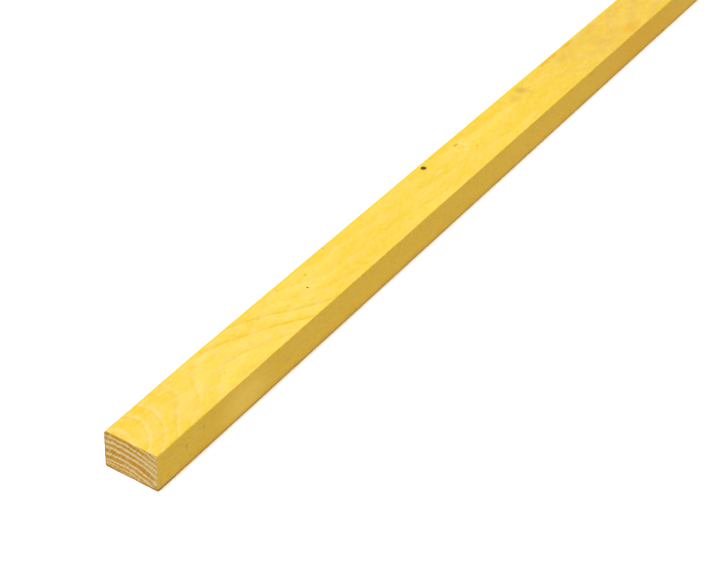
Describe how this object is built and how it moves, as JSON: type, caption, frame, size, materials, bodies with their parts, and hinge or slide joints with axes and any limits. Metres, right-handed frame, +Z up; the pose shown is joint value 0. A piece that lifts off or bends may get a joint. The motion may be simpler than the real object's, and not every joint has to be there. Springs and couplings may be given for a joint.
{
  "type": "treated timber batten",
  "caption": "Sawn softwood batten, treated and dyed yellow: rectangular section with eased arrises, square-cut ends and a small knot hole in its top face.",
  "frame": {"origin": "middle of the underside, on the floor that the batten lies on", "axes": "+X along the length, away from the end that the picture shows; +Y across the width, to the left when looking along +X; +Z up through the thickness"},
  "size_m": [1.8, 0.038, 0.027],
  "materials": {
    "dyed_softwood": "matte"
  },
  "bodies": {
    "root": {"batten": "dyed_softwood"}
  },
  "joints": []
}
